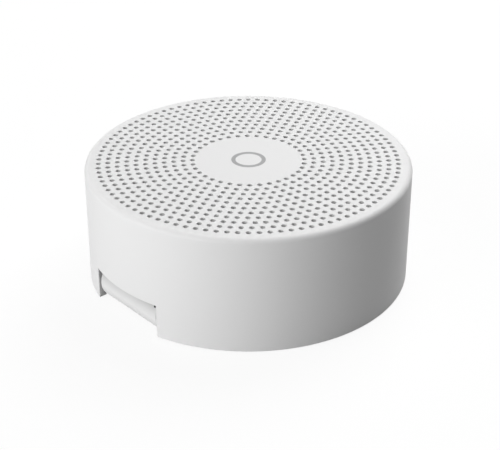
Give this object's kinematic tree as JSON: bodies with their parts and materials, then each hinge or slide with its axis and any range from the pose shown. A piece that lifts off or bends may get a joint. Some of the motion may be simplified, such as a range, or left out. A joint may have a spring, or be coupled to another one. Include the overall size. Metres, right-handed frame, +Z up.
{
  "type": "round wireless chime speaker",
  "caption": "Low round white speaker with a ring-patterned grille on top, a fold-out power plug in its base and a setup button underneath.",
  "frame": {"origin": "centre of the round body, on the surface that the feet stand on", "axes": "+Z up through the grille, -Y towards the notch with the plug's hinge, X along the hinge axis"},
  "size_m": [0.07, 0.07, 0.026],
  "materials": {
    "white_plastic": "fine moulded satin",
    "button_plastic": "fine moulded satin",
    "foot_rubber": "matte soft rubber",
    "screw_steel": "zinc plated",
    "plug_steel": "nickel plated sheet",
    "contact_gold": "gold plated",
    "plug_insulator": "moulded",
    "board_laminate": "solder mask",
    "shield_tin": "tinned sheet",
    "chip_epoxy": "moulded epoxy",
    "capacitor_can": "drawn can",
    "mesh_cloth": "fine woven cloth",
    "gasket_foam": "closed foam",
    "basket_steel": "black coated",
    "motor_steel": "zinc plated",
    "magnet_nickel": "nickel plated",
    "coil_copper": "enamelled wire",
    "cone_film": "pressed film",
    "surround_rubber": "soft rubber",
    "terminal_laminate": "phenolic sheet",
    "connector_plastic": "moulded",
    "lead_insulation": "insulated wire"
  },
  "bodies": {
    "housing": {"top_shell": "white_plastic", "base_cover": "white_plastic", "rubber_feet": "foot_rubber", "case_screws": "screw_steel", "hinge_pin": "screw_steel", "hinge_washers": "motor_steel", "contact_springs": "contact_gold", "main_board": "board_laminate", "board_screws": "screw_steel", "radio_shield": "shield_tin", "board_chips": "chip_epoxy", "reservoir_capacitor": "capacitor_can", "tact_switch": "chip_epoxy", "dust_mesh": "mesh_cloth", "speaker_gasket": "gasket_foam", "speaker_basket": "basket_steel", "magnet_yoke": "motor_steel", "speaker_magnet": "magnet_nickel", "pole_plate": "motor_steel", "cone_surround": "surround_rubber", "speaker_terminals": "terminal_laminate", "speaker_connector": "connector_plastic", "speaker_leads": "lead_insulation"},
    "plug": {"plug_barrel": "white_plastic", "barrel_pads": "contact_gold", "plug_shell": "plug_steel", "plug_tongue": "plug_insulator", "plug_contacts": "contact_gold"},
    "diaphragm": {"speaker_cone": "cone_film", "dust_cap": "cone_film", "voice_coil": "coil_copper"},
    "button": {"setup_button": "button_plastic", "switch_plunger": "chip_epoxy"}
  },
  "joints": [
    {"name": "plug_fold", "type": "hinge", "parent": "housing", "child": "plug", "pos_m": [0, -0.02926, 0.00445], "axis": [-1, 0, 0], "range_deg": [0, 180]},
    {"name": "cone_travel", "type": "slide", "parent": "housing", "child": "diaphragm", "axis": [0, 0, 1], "range_m": [-0.0005, 0.0005], "stiffness_N_per_m": 1200, "deforming": ["cone_surround"]},
    {"name": "button_press", "type": "slide", "parent": "housing", "child": "button", "axis": [0, 0, 1], "range_m": [0, 0.0003], "stiffness_N_per_m": 2000}
  ]
}
